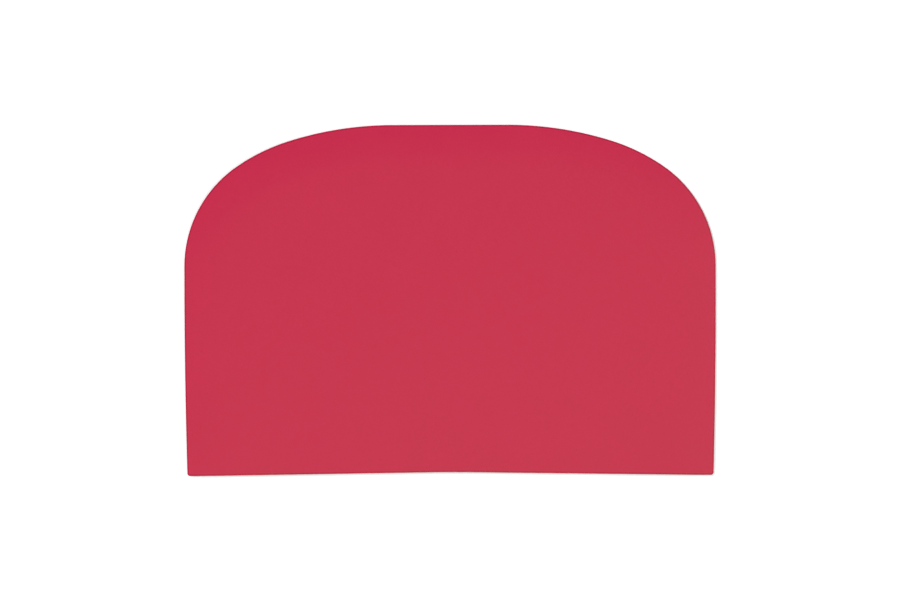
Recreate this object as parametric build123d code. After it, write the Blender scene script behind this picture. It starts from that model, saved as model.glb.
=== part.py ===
from build123d import *

import os
from math import cos, degrees, radians, sin

# A bowl scraper, moulded in one piece from semi-rigid polypropylene: a thin plate with
# one straight edge and one curved edge. It lies on its flat back. The origin is on the
# back, at the centre of the plan. +X runs along the straight edge, +Y towards the curved
# edge and +Z up through the thickness. Lengths are in millimetres, angles in degrees.

# Plan outline: the crown's flat, then three arcs each side that get tighter downwards,
# then a side that leans in a little on its way to the straight edge.
width = 140.0
height = 92.4
crown_flat = 30.0
crown_turn = 17.5
haunch_radius = 51.0
haunch_turn = 17.0
shoulder_radius = 32.0
side_straight = 4.8
side_lean_in = 0.7

# Straight edge: two straight runs that rise a little to an eased meeting in the middle,
# so that the two corners reach the bench first.
straight_edge_rise = 1.0
rise_easing_radius = 480.0
corner_radius = 0.8

# Section: full thickness in the middle and along the straight edge. The upper face rolls
# off towards the curved edge and the sides, which makes that edge the flexible one.
plate_thickness = 1.5
curved_edge_thickness = 1.0
roll_off_width = 12.0
upper_rim_radius = 0.35
lower_rim_radius = 0.15

# Moulding marks on the back: a dimple at the gate, with the broken-off stub of the sprue
# in it, and the shallow prints of the ejector pins, spaced along each half of the edge.
gate_dimple_radius = 2.2
gate_dimple_depth = 0.3
gate_stub_radius = 0.6
gate_stub_height = 0.2
ejector_radius = 2.5
ejector_depth = 0.08
ejector_inset = 9.0
ejector_shares = (0.15, 0.5, 0.85)

# A cutting shape passes the surface that it cuts by this much.
overrun = 3.0

# A face whose normal rises by less than this counts as upright.
upright_limit = 0.01

up = (0, 0, 1)
standing = (Align.CENTER, Align.CENTER, Align.MIN)
right_angle = 90.0
shoulder_turn = right_angle - crown_turn - haunch_turn
crown_y = height / 2
corner_y = -height / 2
corner_x = width / 2 - side_lean_in

# The crown's arc is as large as it has to be for the chain of arcs to reach the side.
shoulder_reach = shoulder_radius * (1 - cos(radians(shoulder_turn)))
haunch_reach = haunch_radius * (cos(radians(shoulder_turn)) - sin(radians(crown_turn)))
crown_reach = width / 2 - crown_flat / 2 - haunch_reach - shoulder_reach
crown_radius = crown_reach / sin(radians(crown_turn))


def right_half_edge(inset=0):
    """The curved edge from the crown's middle, down the right side, past the corner.

    It is a chain of tangent lines and arcs. An inset gives the chain that runs parallel
    to it, so far inside.
    """
    crown = Line((0, crown_y - inset), (crown_flat / 2, crown_y - inset))
    crown_arc = JernArc(crown @ 1, crown % 1, crown_radius - inset, -crown_turn)
    haunch = JernArc(crown_arc @ 1, crown_arc % 1, haunch_radius - inset, -haunch_turn)
    shoulder = JernArc(haunch @ 1, haunch % 1, shoulder_radius - inset, -shoulder_turn)
    side = Line(shoulder @ 1, shoulder @ 1 - Vector(0, side_straight))
    lean_drop = (side @ 1).Y - corner_y
    lean_radius = (lean_drop**2 + side_lean_in**2) / (2 * side_lean_in)
    lean_turn = degrees((lean_drop + overrun) / lean_radius)
    lean = JernArc(side @ 1, side % 1, lean_radius - inset, -lean_turn)
    return Wire([crown, crown_arc, haunch, shoulder, side, lean])


def roll_off_section():
    """The band's section at the crown: wall, roll-off, crest and foot."""
    crest_y = crown_y - roll_off_width
    drop = plate_thickness - curved_edge_thickness
    roll_off_radius = (roll_off_width**2 + drop**2) / (2 * drop)
    wall = Line((crown_y, 0), (crown_y, curved_edge_thickness))
    crest = Line((crest_y, plate_thickness), (crest_y, 0))
    roll_off = RadiusArc(wall @ 1, crest @ 0, -roll_off_radius)
    foot = Line(crest @ 1, wall @ 0)
    return Plane.YZ * Face(Wire([wall, roll_off, crest, foot]))


def right_half_blank():
    """The right half of the plate, before the straight edge is trimmed.

    A band with the roll-off follows the curved edge round, and the full-thickness middle
    fills what lies inside it.
    """
    band = sweep(roll_off_section(), path=right_half_edge())
    inner_edge = right_half_edge(roll_off_width)
    foot_of_axis = Vector(0, (inner_edge @ 1).Y)
    below = Line(inner_edge @ 1, foot_of_axis)
    axis = Line(foot_of_axis, inner_edge @ 0)
    outline = Wire([*inner_edge.edges(), below, axis])
    return band + extrude(Face(outline), plate_thickness, dir=up)


def straight_edge_trim():
    """All that lies below the straight edge, as a solid to cut away."""
    end_x = corner_x + overrun
    end_y = corner_y - overrun * straight_edge_rise / corner_x
    floor_y = end_y - overrun
    peak = (0, corner_y + straight_edge_rise)
    edge = FilletPolyline((-end_x, end_y), peak, (end_x, end_y), radius=rise_easing_radius)
    rest = Polyline(edge @ 1, (end_x, floor_y), (-end_x, floor_y), edge @ 0)
    outline = Face(Wire([*edge.edges(), *rest.edges()]))
    return extrude(Pos(0, 0, -overrun) * outline, plate_thickness + 2 * overrun, dir=up)


def gate_dimple():
    """The hollow round the gate, less the stub of the sprue that stays in it."""
    hollow = Cylinder(gate_dimple_radius, gate_dimple_depth, align=standing)
    stub = Cylinder(gate_stub_radius, gate_stub_height, align=standing)
    return hollow - Pos(0, 0, gate_dimple_depth - gate_stub_height) * stub


def ejector_prints():
    """The round prints of the ejector pins, in mirrored pairs inside the curved edge."""
    pin = Cylinder(ejector_radius, ejector_depth, align=standing)
    places = [right_half_edge(ejector_inset) @ share for share in ejector_shares]
    right_prints = [Pos(place) * pin for place in places]
    return right_prints + [right.mirror(Plane.YZ) for right in right_prints]


def scraper_blade():
    """The whole plate."""
    right_half = right_half_blank()
    blade = right_half + right_half.mirror(Plane.YZ) - straight_edge_trim()

    corners = blade.edges().filter_by(Axis.Z).group_by(Axis.Y)[0]
    blade = fillet(corners, corner_radius)

    walls = [face for face in blade.faces() if abs(face.normal_at().Z) < upright_limit]
    round_walls = [edge for wall in walls for edge in wall.edges().filter_by(Axis.Z, reverse=True)]
    upper_rim = [edge for edge in round_walls if edge.center().Z > lower_rim_radius]
    blade = fillet(upper_rim, upper_rim_radius)

    lower_rim = blade.faces().sort_by(Axis.Z)[0].outer_wire().edges()
    blade = fillet(lower_rim, lower_rim_radius)

    return blade - gate_dimple() - ejector_prints()


if __name__ == "__main__":
    os.makedirs("parts", exist_ok=True)
    export_step(scraper_blade(), "parts/scraper_blade.step")
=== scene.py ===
import math

import bmesh
import bpy
import numpy as np
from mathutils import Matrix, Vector
from mathutils.geometry import delaunay_2d_cdt


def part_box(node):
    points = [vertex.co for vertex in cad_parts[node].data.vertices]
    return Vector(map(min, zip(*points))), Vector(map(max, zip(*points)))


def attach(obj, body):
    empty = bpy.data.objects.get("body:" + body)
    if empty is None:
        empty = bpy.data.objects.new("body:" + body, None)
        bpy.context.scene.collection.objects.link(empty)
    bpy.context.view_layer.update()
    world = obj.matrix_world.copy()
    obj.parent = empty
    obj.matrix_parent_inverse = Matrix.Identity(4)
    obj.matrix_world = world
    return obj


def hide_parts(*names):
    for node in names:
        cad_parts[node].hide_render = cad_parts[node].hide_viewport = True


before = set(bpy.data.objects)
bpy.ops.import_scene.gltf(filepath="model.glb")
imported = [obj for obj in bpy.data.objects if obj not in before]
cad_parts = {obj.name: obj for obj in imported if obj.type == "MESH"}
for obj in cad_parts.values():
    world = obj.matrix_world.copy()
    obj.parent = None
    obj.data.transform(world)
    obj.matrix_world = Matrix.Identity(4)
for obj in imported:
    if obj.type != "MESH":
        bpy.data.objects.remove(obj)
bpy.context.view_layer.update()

# The plate: outline
# A bowl scraper is one plate of semi-rigid polypropylene, injection moulded through a
# gate in the middle of its back. Its outline is a chain of tangent arcs: a curved edge
# that fits the inside of a bowl, two sides, and a straight edge for the bench.
low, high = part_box("scraper_blade")
mm = 0.001
width = 140 * mm
height = 92.4 * mm
crown_flat = 30 * mm
crown_turn = math.radians(17.5)
haunch_radius = 51 * mm
haunch_turn = math.radians(17)
shoulder_radius = 32 * mm
side_straight = 4.8 * mm
side_lean_in = 0.7 * mm
straight_edge_rise = 1.0 * mm
rise_easing_radius = 480 * mm
corner_radius = 0.8 * mm
sample_spacing = 0.8 * mm
sample_turn = math.radians(6)

quarter = math.radians(90)
shoulder_turn = quarter - crown_turn - haunch_turn
shoulder_reach = shoulder_radius * (1 - math.cos(shoulder_turn))
haunch_reach = haunch_radius * (math.cos(shoulder_turn) - math.sin(crown_turn))
crown_reach = width / 2 - crown_flat / 2 - haunch_reach - shoulder_reach
crown_radius = crown_reach / math.sin(crown_turn)


class Walk:
    """A path of tangent straight runs and arcs, with points and left-hand normals."""

    def __init__(self, x, y):
        self.heading = 0.0
        self.points = [(x, y)]
        self.normals = [(0.0, 1.0)]

    def go(self, length, turn=0.0):
        """Adds a run of that length, which turns to the right by turn on its way."""
        x, y = self.points[-1]
        steps = max(1, round(length / sample_spacing), math.ceil(abs(turn) / sample_turn))
        for step in range(1, steps + 1):
            turned = -turn * step / steps
            chord = length * step / steps
            if turned:
                chord *= math.sin(turned / 2) / (turned / 2)
            along = self.heading + turned / 2
            now = self.heading + turned
            self.points.append((x + chord * math.cos(along), y + chord * math.sin(along)))
            self.normals.append((-math.sin(now), math.cos(now)))
        self.heading -= turn
        return self

    def bend(self, radius, turn):
        """Adds an arc to the right, or to the left where turn is negative."""
        return self.go(radius * abs(turn), turn)


def curved_edge():
    """The right half of the curved edge and the straight part of the side."""
    return (
        Walk(0.0, high.y)
        .go(crown_flat / 2)
        .bend(crown_radius, crown_turn)
        .bend(haunch_radius, haunch_turn)
        .bend(shoulder_radius, shoulder_turn)
        .go(side_straight)
    )


# The side's lean and the straight edge's slope meet at the corner.
lean_drop = curved_edge().points[-1][1] - high.y + height
lean_radius = (lean_drop**2 + side_lean_in**2) / (2 * side_lean_in)
lean_turn = math.asin(lean_drop / lean_radius)
slope = math.atan(straight_edge_rise / (width / 2 - side_lean_in))
corner_turn = quarter - lean_turn + slope
corner_cut = corner_radius * math.tan(corner_turn / 2)
lean_shortened = lean_turn - corner_cut / lean_radius

right_half = curved_edge().bend(lean_radius, lean_shortened).bend(corner_radius, corner_turn)
straight_run = right_half.points[-1][0] - rise_easing_radius * math.sin(slope)
right_half.go(straight_run / math.cos(slope)).bend(rise_easing_radius, -slope)

mirror = np.array([-1.0, 1.0])
right_points = np.array(right_half.points)
right_points[:, 1] = np.maximum(right_points[:, 1], low.y)
right_normals = np.array(right_half.normals)
outline = np.vstack([right_points, right_points[-2:0:-1] * mirror])
outward = np.vstack([right_normals, right_normals[-2:0:-1] * mirror])

# The plate: section
# The upper face is flat and full thickness in the middle, and rolls off along an arc to
# the thinner curved edge. Every rim is slightly rounded, as a mould's edge leaves it.
plate_thickness = high.z - low.z
curved_edge_thickness = 1.0 * mm
roll_off_width = 12 * mm
upper_rim_radius = 0.2 * mm
lower_rim_radius = 0.15 * mm
upper_rim_steps = 7
lower_rim_steps = 4
holding_inset = 0.05 * mm
margin_inset = 0.55 * mm

# The roll-off follows the curved edge and the side, carried on a little past the corner.
past_corner = 1.1
edge_walk = curved_edge().bend(lean_radius, lean_turn * past_corner)
edge_points = np.array(edge_walk.points)
edge_normals = np.array(edge_walk.normals)
roll_off_drop = plate_thickness - curved_edge_thickness
roll_off_radius = (roll_off_width**2 + roll_off_drop**2) / (2 * roll_off_drop)


def distance_inside(points, path, path_normals):
    """How far each point lies inside a path, measured from the path's nearest point."""
    away = points[:, None, :] - path[None, :, :]
    nearest = np.argmin((away**2).sum(axis=2), axis=1)
    rows = np.arange(len(points))
    return -(away[rows, nearest] * path_normals[nearest]).sum(axis=1)


def edge_distance(points):
    """How far inside the curved edge and the sides each point lies."""
    folded = np.column_stack([np.abs(points[:, 0]), points[:, 1]])
    return distance_inside(folded, edge_points, edge_normals)


def upper_height(points):
    """The upper face's height at each point."""
    into_roll_off = np.clip(roll_off_width - edge_distance(points), 0, roll_off_width)
    return high.z - roll_off_radius + np.sqrt(roll_off_radius**2 - into_roll_off**2)


def flat_back(points):
    """The back's height at each point, without its marks."""
    return np.full(len(points), low.z)


def ring(inset, heights, lift=0.0):
    """The outline moved inwards, as points in space at the given heights plus a lift."""
    points = outline - outward * inset
    return np.column_stack([points, heights(points) + lift])


def rim_ring(radius, angle, heights, side):
    """One ring of a rim's rounding, from 0 on the face to 90 degrees on the wall."""
    return ring(radius * (1 - math.sin(angle)), heights, side * radius * (1 - math.cos(angle)))


rings = [ring(margin_inset, upper_height), ring(upper_rim_radius + holding_inset, upper_height)]
for step in range(upper_rim_steps + 1):
    rings.append(rim_ring(upper_rim_radius, quarter * step / upper_rim_steps, upper_height, -1))
for step in range(lower_rim_steps, -1, -1):
    rings.append(rim_ring(lower_rim_radius, quarter * step / lower_rim_steps, flat_back, 1))
rings += [ring(lower_rim_radius + holding_inset, flat_back), ring(margin_inset, flat_back)]

# The plate: moulding marks
# On the back the gate leaves a dimple with the torn stub of the sprue in it, and the
# ejector pins leave shallow round prints. Each mark is (x, y, radius, depth).
gate_dimple_radius = 2.2 * mm
gate_dimple_depth = 0.3 * mm
gate_stub_radius = 0.6 * mm
gate_stub_height = 0.2 * mm
torn_depth = 0.05 * mm
torn_seed = 5
ejector_radius = 2.5 * mm
ejector_depth = 0.08 * mm
ejector_inset = 9 * mm
ejector_shares = (0.15, 0.5, 0.85)
mark_wall = 0.04 * mm
mark_sides = 48
mark_floor_share = 0.6
stub_top_shares = (0.75, 0.5, 0.25)


def ejector_places():
    """The pins' places, spaced along the edge and mirrored."""
    inner = edge_points - edge_normals * ejector_inset
    steps = np.hypot(*np.diff(inner, axis=0).T)
    travelled = np.concatenate([[0], np.cumsum(steps)])
    for share in ejector_shares:
        x = np.interp(share * travelled[-1], travelled, inner[:, 0])
        y = np.interp(share * travelled[-1], travelled, inner[:, 1])
        yield x, y
        yield -x, y


marks = [(0.0, 0.0, gate_dimple_radius, gate_dimple_depth)]
marks += [(x, y, ejector_radius, ejector_depth) for x, y in ejector_places()]


def circle(x, y, radius):
    """Points round a circle."""
    angles = np.arange(mark_sides) * 2 * math.pi / mark_sides
    return np.column_stack([x + radius * np.cos(angles), y + radius * np.sin(angles)])


def lower_height(points):
    """The back's height at each point, with the marks sunk into it."""
    heights = flat_back(points)
    for x, y, radius, depth in marks:
        away = np.hypot(points[:, 0] - x, points[:, 1] - y)
        heights += depth * np.clip((radius - away) / mark_wall, 0, 1)
    from_gate = np.hypot(points[:, 0], points[:, 1])
    in_stub = np.clip((gate_stub_radius - from_gate) / mark_wall, 0, 1)
    torn = np.random.default_rng(torn_seed).uniform(0, torn_depth, len(points))
    return heights - in_stub * (gate_stub_height - torn)


# The plate: mesh
# The rim is built from rings. Each face inside them is filled with triangles between
# points that follow the roll-off, and the middle is filled with an even grid.
grid_spacing = 2.5 * mm
roll_off_rows = 12
clear_of_rim = 0.9 * mm
crease_angle = math.radians(35)
merge_distance = 1e-7
inside_only = 1


def grid_points():
    """An even grid of staggered rows over the plate's middle."""
    rows = []
    for row in range(math.ceil(height / grid_spacing) + 1):
        y = low.y + row * grid_spacing
        x = np.arange(-width / 2, width / 2, grid_spacing) + (row % 2) * grid_spacing / 2
        rows.append(np.column_stack([x, np.full(len(x), y)]))
    return np.vstack(rows)


def roll_off_points():
    """Rows that follow the curved edge across the roll-off."""
    every_other = slice(0, None, 2)
    rows = []
    for row in range(1, roll_off_rows + 2):
        inset = roll_off_width * row / roll_off_rows
        right = (edge_points - edge_normals * inset)[every_other]
        rows += [right, right[1:] * mirror]
    return np.vstack(rows)


def fill(mesh, loop, points, heights):
    """Fills a closed loop of mesh vertices with triangles over the given inner points."""
    rim = [Vector(vertex.co.xy) for vertex in loop]
    inner = [Vector(point) for point in points]
    edges = [(index, (index + 1) % len(rim)) for index in range(len(rim))]
    filled = delaunay_2d_cdt(rim + inner, edges, [], inside_only, merge_distance)
    places, _, faces, sources, _, _ = filled
    flat = np.array(places)
    vertices = []
    for place, level, source in zip(flat, heights(flat), sources):
        on_rim = [index for index in source if index < len(rim)]
        vertices.append(loop[on_rim[0]] if on_rim else mesh.verts.new((*place, level)))
    for face in faces:
        mesh.faces.new([vertices[index] for index in face])


mesh = bmesh.new()
burnish_and_painted_shade = mesh.verts.layers.float.new("burnish_and_painted_shade")
loops = [[mesh.verts.new(point) for point in points] for points in rings]
# The rim's rings carry the mark for the polished margin and for its painted shade.
for loop in loops[1:-1]:
    for vertex in loop:
        vertex[burnish_and_painted_shade] = 1.0
for upper, lower in zip(loops, loops[1:]):
    for index in range(len(upper)):
        after = (index + 1) % len(upper)
        mesh.faces.new((upper[index], upper[after], lower[after], lower[index]))

grid = grid_points()
grid = grid[distance_inside(grid, outline, outward) > clear_of_rim]
bands = roll_off_points()
bands = bands[distance_inside(bands, outline, outward) > clear_of_rim]
middle = grid[edge_distance(grid) > roll_off_width + grid_spacing]
fill(mesh, loops[0], np.vstack([middle, bands]), upper_height)

circles = []
for x, y, radius, depth in marks:
    grid = grid[np.hypot(grid[:, 0] - x, grid[:, 1] - y) > radius + clear_of_rim]
    circles += [circle(x, y, radius), circle(x, y, radius - mark_wall)]
    circles += [circle(x, y, radius * mark_floor_share)]
circles += [circle(0, 0, gate_stub_radius), circle(0, 0, gate_stub_radius - mark_wall)]
circles += [circle(0, 0, gate_stub_radius * share) for share in stub_top_shares]
fill(mesh, loops[-1], np.vstack([grid, *circles]), lower_height)

bmesh.ops.recalc_face_normals(mesh, faces=mesh.faces)
for edge in mesh.edges:
    edge.smooth = edge.calc_face_angle() < crease_angle
plate_mesh = bpy.data.meshes.new("scraper_plate")
mesh.to_mesh(plate_mesh)
mesh.free()
plate_mesh.polygons.foreach_set("use_smooth", [True] * len(plate_mesh.polygons))
plate = bpy.data.objects.new("scraper_plate", plate_mesh)
bpy.context.scene.collection.objects.link(plate)

# The plate: material
# Polypropylene coloured through with a crimson pigment, moulded against spark-eroded
# steel: an even matt skin that still catches a soft sheen at low angles.


def linear(hex_colour):
    """An sRGB hex colour as the linear RGBA that shaders take."""
    channels = [int(hex_colour[start:start + 2], 16) / 255 for start in (0, 2, 4)]
    bent = [c / 12.92 if c <= 0.04045 else ((c + 0.055) / 1.055) ** 2.4 for c in channels]
    return (*bent, 1.0)


def add(tree, kind, links=None, **settings):
    """Adds a node to a node tree, with its settings, input values and incoming links."""
    node = tree.nodes.new(kind)
    for name, value in settings.items():
        setattr(node, name, value)
    for socket, value in (links or {}).items():
        if isinstance(value, bpy.types.NodeSocket):
            tree.links.new(value, node.inputs[socket])
        else:
            node.inputs[socket].default_value = value
    return node


def new_material(name):
    """A material with an empty node tree, and that tree."""
    material = bpy.data.materials.new(name)
    material.use_nodes = True
    material.node_tree.nodes.clear()
    return material, material.node_tree


face_pigment = "C82950"
# The rim's colour is darker than the face's: painted shade along the plate's edge.
rim_painted_shade_pigment = "B61942"
fleck_pigment = "A01C38"
streaks_per_radian = 9.0
streak_length = 60 * mm
streak_share = 0.4
mottle_size = 14 * mm
pigment_and_painted_pit_shade_variation = 0.02
cloud_detail = 3.0
noise_average = 0.5
noise_reach = 0.5
fleck_spacing = 11 * mm
fleck_radius = 0.22 * mm
fleck_core_share = 0.4
fleck_share = 0.4
fleck_strength = 0.35
grain_size = 0.6 * mm
painted_pit_shade_share = 1.75
grain_depth = 0.03 * mm
grain_detail = 2.0
grain_crispness = 0.6
roughness = 0.30
roughness_variation = 0.02
polish_range = (0.3, 0.7)
rim_roughness = 0.22
polypropylene_ior = 1.49
under_skin_share = 0.1
under_skin_reach = 0.5 * mm
under_skin_spread = (1.0, 0.3, 0.3)

polypropylene, tree = new_material("polypropylene_moulded_matt")
place = add(tree, "ShaderNodeTexCoord")

# The pigment lies in faint streaks that run out from the gate, and in a faint mottle.
outwards = add(tree, "ShaderNodeVectorMath", {0: place.outputs["Object"]}, operation="NORMALIZE")
along = add(
    tree,
    "ShaderNodeVectorMath",
    {0: place.outputs["Object"], "Scale": 1 / streak_length},
    operation="SCALE",
)
flow = add(
    tree,
    "ShaderNodeVectorMath",
    {0: outwards.outputs[0], 1: (streaks_per_radian,) * 3, 2: along.outputs[0]},
    operation="MULTIPLY_ADD",
)
streaks = add(
    tree,
    "ShaderNodeTexNoise",
    {"Vector": flow.outputs[0], "Scale": 1.0, "Detail": cloud_detail},
)
mottle = add(
    tree,
    "ShaderNodeTexNoise",
    {"Vector": place.outputs["Object"], "Scale": 1 / mottle_size, "Detail": cloud_detail},
)
blotches = add(
    tree,
    "ShaderNodeMath",
    {0: streaks.outputs[0], 1: streak_share, 2: mottle.outputs[0]},
    operation="MULTIPLY_ADD",
)

# The grain is really about 0.05 mm across. It is drawn coarser, or it wouldn't show.
grain = add(
    tree,
    "ShaderNodeTexNoise",
    {
        "Vector": place.outputs["Object"],
        "Scale": 1 / grain_size,
        "Detail": grain_detail,
        "Roughness": grain_crispness,
    },
)
# The grain's pits are also drawn darker in the colour: painted shade in the pits. The streaks and the
# mottle are the pigment's own uneven tone.
uneven = add(
    tree,
    "ShaderNodeMath",
    {0: grain.outputs[0], 1: painted_pit_shade_share, 2: blotches.outputs[0]},
    operation="MULTIPLY_ADD",
)
average = noise_average * (1 + streak_share + painted_pit_shade_share)
shade = add(
    tree,
    "ShaderNodeMapRange",
    {
        "Value": uneven.outputs[0],
        "From Min": average - noise_reach,
        "From Max": average + noise_reach,
        "To Min": 1 - pigment_and_painted_pit_shade_variation,
        "To Max": 1 + pigment_and_painted_pit_shade_variation,
    },
)
face_colour = add(
    tree,
    "ShaderNodeMix",
    {0: 1.0, 6: linear(face_pigment), 7: shade.outputs[0]},
    data_type="RGBA",
    blend_type="MULTIPLY",
)

# A few darker flecks, each a grain of pigment that didn't melt in.
cells = add(
    tree,
    "ShaderNodeTexVoronoi",
    {"Vector": place.outputs["Object"], "Scale": 1 / fleck_spacing},
    voronoi_dimensions="2D",
)
in_fleck = add(
    tree,
    "ShaderNodeMapRange",
    {
        "Value": cells.outputs["Distance"],
        "From Min": fleck_core_share * fleck_radius / fleck_spacing,
        "From Max": fleck_radius / fleck_spacing,
        "To Min": fleck_strength,
        "To Max": 0.0,
    },
)
chance = add(tree, "ShaderNodeSeparateColor", {0: cells.outputs["Color"]})
chosen = add(tree, "ShaderNodeMath", {0: chance.outputs[0], 1: fleck_share}, operation="LESS_THAN")
fleck = add(tree, "ShaderNodeMath", {0: in_fleck.outputs[0], 1: chosen.outputs[0]}, operation="MULTIPLY")
flecked = add(
    tree,
    "ShaderNodeMix",
    {0: fleck.outputs[0], 6: face_colour.outputs[2], 7: linear(fleck_pigment)},
    data_type="RGBA",
)

# The steel is polished round the rim, where the mould's halves are fitted. So the walls
# and a narrow margin of each face are smoother. They are also painted deeper in colour:
# painted shade, for the dark line round the plate's edge.
rim = add(tree, "ShaderNodeAttribute", attribute_name="burnish_and_painted_shade")
colour = add(
    tree,
    "ShaderNodeMix",
    {0: rim.outputs["Fac"], 6: flecked.outputs[2], 7: linear(rim_painted_shade_pigment)},
    data_type="RGBA",
)

# The same grain as relief, and an uneven polish.
relief = add(tree, "ShaderNodeBump", {"Height": grain.outputs[0], "Distance": grain_depth})
polish = add(
    tree,
    "ShaderNodeMapRange",
    {
        "Value": mottle.outputs[0],
        "From Min": polish_range[0],
        "From Max": polish_range[1],
        "To Min": roughness - roughness_variation,
        "To Max": roughness + roughness_variation,
    },
)
gloss = add(tree, "ShaderNodeMix", {0: rim.outputs["Fac"], 2: polish.outputs[0], 3: rim_roughness})
surface = add(
    tree,
    "ShaderNodeBsdfPrincipled",
    {
        "Base Color": colour.outputs[2],
        "Roughness": gloss.outputs[0],
        "IOR": polypropylene_ior,
        "Subsurface Weight": under_skin_share,
        "Subsurface Radius": under_skin_spread,
        "Subsurface Scale": under_skin_reach,
        "Normal": relief.outputs[0],
    },
)
add(tree, "ShaderNodeOutputMaterial", {"Surface": surface.outputs[0]})
plate_mesh.materials.append(polypropylene)

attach(plate, "root")
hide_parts("scraper_blade")

# The ground
# A sheet of seamless paper on which the plate lies: matt, and a cool white that answers
# the red which the plate throws on it. It keeps the plate's shadow. A window is cut in it
# under the plate, so that the back can be seen from below.
paper_colour = "E3ECF5"
glow_colour = "FFFFFF"
paper_glow = 0.33
ground_radius = 1.5
ground_gap = 0.01 * mm
window_inset = 0.3 * mm

window = outline - outward * window_inset
far_edge = window * (ground_radius / np.hypot(window[:, 0], window[:, 1]))[:, None]
mesh = bmesh.new()
window_rim, far_rim = [
    [mesh.verts.new((x, y, low.z - ground_gap)) for x, y in points]
    for points in (window, far_edge)
]
for index in range(len(window)):
    after = (index + 1) % len(window)
    mesh.faces.new((window_rim[index], window_rim[after], far_rim[after], far_rim[index]))
ground_mesh = bpy.data.meshes.new("ground")
mesh.to_mesh(ground_mesh)
mesh.free()
ground = bpy.data.objects.new("ground", ground_mesh)
bpy.context.scene.collection.objects.link(ground)

# The glow lifts the paper to white for the camera and in reflections. It lights nothing.
paper, tree = new_material("paper_seamless_matt_white")
rays = add(tree, "ShaderNodeLightPath")
direct = add(
    tree,
    "ShaderNodeMath",
    {0: rays.outputs["Is Camera Ray"], 1: rays.outputs["Is Glossy Ray"]},
    operation="MAXIMUM",
)
seen = add(
    tree,
    "ShaderNodeMath",
    {0: direct.outputs[0], 1: rays.outputs["Is Transmission Ray"]},
    operation="MAXIMUM",
)
lift = add(tree, "ShaderNodeMath", {0: seen.outputs[0], 1: paper_glow}, operation="MULTIPLY")
matt = add(tree, "ShaderNodeBsdfDiffuse", {"Color": linear(paper_colour)})
glow = add(tree, "ShaderNodeEmission", {"Color": linear(glow_colour), "Strength": lift.outputs[0]})
both = add(tree, "ShaderNodeAddShader", {0: matt.outputs[0], 1: glow.outputs[0]})
add(tree, "ShaderNodeOutputMaterial", {"Surface": both.outputs[0]})
ground_mesh.materials.append(paper)

# The lamps
# A small key lamp beyond the upper left corner casts the short shadow on the right and on
# the near side. It is polarised against the lens, so it leaves no highlight. Three round
# softboxes fill from the other sides. A share is of the light on the ground.
key_share = 0.33
key_azimuth = 151
key_zenith = 35
key_size = 0.42
softbox_shares = {90: 0.05, 270: 0.09, 0: 0.10}
softbox_zenith = 50
softbox_size = 1.5
lamp_distance = 5.0
watts_for_full_share = 271.4


def hang_lamp(name, share, azimuth, zenith, size):
    """Hangs a round lamp that faces the plate. Its angles are in degrees."""
    light = bpy.data.lights.new(name, "AREA")
    light.shape = "DISK"
    light.size = size
    light.energy = share * watts_for_full_share / math.cos(math.radians(zenith))
    lamp = bpy.data.objects.new(name, light)
    across = math.sin(math.radians(zenith))
    turn = math.radians(azimuth)
    above = math.cos(math.radians(zenith))
    towards = Vector((across * math.cos(turn), across * math.sin(turn), above))
    lamp.location = towards * lamp_distance
    lamp.rotation_euler = towards.to_track_quat("Z", "Y").to_euler()
    bpy.context.scene.collection.objects.link(lamp)
    return lamp


key = hang_lamp("key", key_share, key_azimuth, key_zenith, key_size)
key.visible_glossy = False
for azimuth, share in softbox_shares.items():
    hang_lamp(f"softbox_{azimuth}", share, azimuth, softbox_zenith, softbox_size)

# The light tent
# White cloth round the set, with a warm ceiling panel on the near side only. Its reflection
# in the matt face is the faint haze that fades towards the curved edge. A height is the
# sine of the angle above the horizon.
cloth_colour = "FFFFFF"
skirt_level = 1.0
skirt_top = 0.09
side_level = 0.35
side_bottom = 0.20
ceiling_bottom = 0.70
ceiling_full = 0.90
panel_colour = "FFFFB8"
panel_level = 0.715
panel_azimuth = math.radians(-73)
panel_edge = -0.083
panel_softness = 0.075

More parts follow.
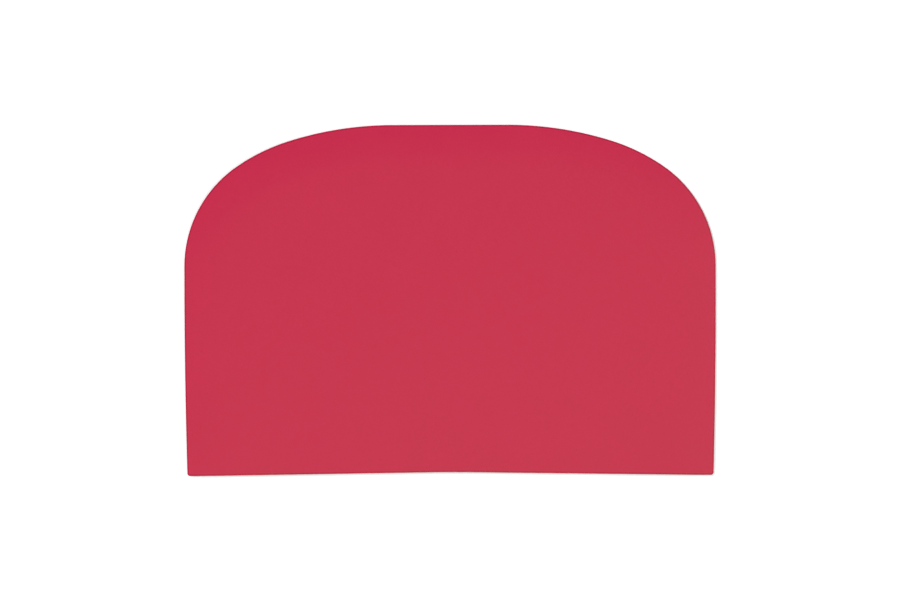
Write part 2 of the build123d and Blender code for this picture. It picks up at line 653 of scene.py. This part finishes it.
tent = bpy.data.worlds.new("light_tent")
tent.use_nodes = True
tree = tent.node_tree
tree.nodes.clear()
place = add(tree, "ShaderNodeTexCoord")
parts = add(tree, "ShaderNodeSeparateXYZ", {0: place.outputs["Generated"]})
sides = add(
    tree,
    "ShaderNodeMapRange",
    {
        "Value": parts.outputs["Z"],
        "From Min": skirt_top,
        "From Max": side_bottom,
        "To Min": skirt_level,
        "To Max": side_level,
    },
)
nearness = add(
    tree,
    "ShaderNodeVectorMath",
    {0: place.outputs["Generated"], 1: (math.cos(panel_azimuth), math.sin(panel_azimuth), 0)},
    operation="DOT_PRODUCT",
)
panel = add(
    tree,
    "ShaderNodeMapRange",
    {
        "Value": nearness.outputs["Value"],
        "From Min": panel_edge - panel_softness,
        "From Max": panel_edge + panel_softness,
        "To Min": 0.0,
        "To Max": panel_level,
    },
    interpolation_type="SMOOTHSTEP",
)
overhead = add(
    tree,
    "ShaderNodeMapRange",
    {"Value": parts.outputs["Z"], "From Min": ceiling_bottom, "From Max": ceiling_full},
    interpolation_type="SMOOTHSTEP",
)
level = add(
    tree,
    "ShaderNodeMix",
    {0: overhead.outputs["Result"], 2: sides.outputs["Result"], 3: panel.outputs["Result"]},
)
tint = add(
    tree,
    "ShaderNodeMix",
    {0: overhead.outputs["Result"], 6: linear(cloth_colour), 7: linear(panel_colour)},
    data_type="RGBA",
)
cloth = add(tree, "ShaderNodeBackground", {"Color": tint.outputs[2], "Strength": level.outputs[0]})
add(tree, "ShaderNodeOutputWorld", {"Surface": cloth.outputs[0]})
bpy.context.scene.world = tent

# The camera
# It looks straight down on the plate, with the straight edge at the bottom of the picture.
# The lens is as long as it has to be for the plate to fill its real share of the frame.
picture_width = 900
picture_height = 600
plate_width_px = 531.5
plate_centre_px = (450.1, 300.23)
camera_height = 0.6
camera_roll = math.radians(0.14)
nearest_seen = 10 * mm
farthest_seen = 20
metres_per_px = width / plate_width_px

camera_data = bpy.data.cameras.new("camera")
camera_data.lens = camera_data.sensor_width * camera_height / (picture_width * metres_per_px)
camera_data.clip_start = nearest_seen
camera_data.clip_end = farthest_seen
camera = bpy.data.objects.new("camera", camera_data)
camera.location = (
    (picture_width / 2 - plate_centre_px[0]) * metres_per_px,
    (plate_centre_px[1] - picture_height / 2) * metres_per_px,
    camera_height + curved_edge_thickness - upper_rim_radius,
)
camera.rotation_euler = (0, 0, -camera_roll)
bpy.context.scene.collection.objects.link(camera)
bpy.context.scene.camera = camera

bpy.context.scene.view_settings.view_transform = "Standard"
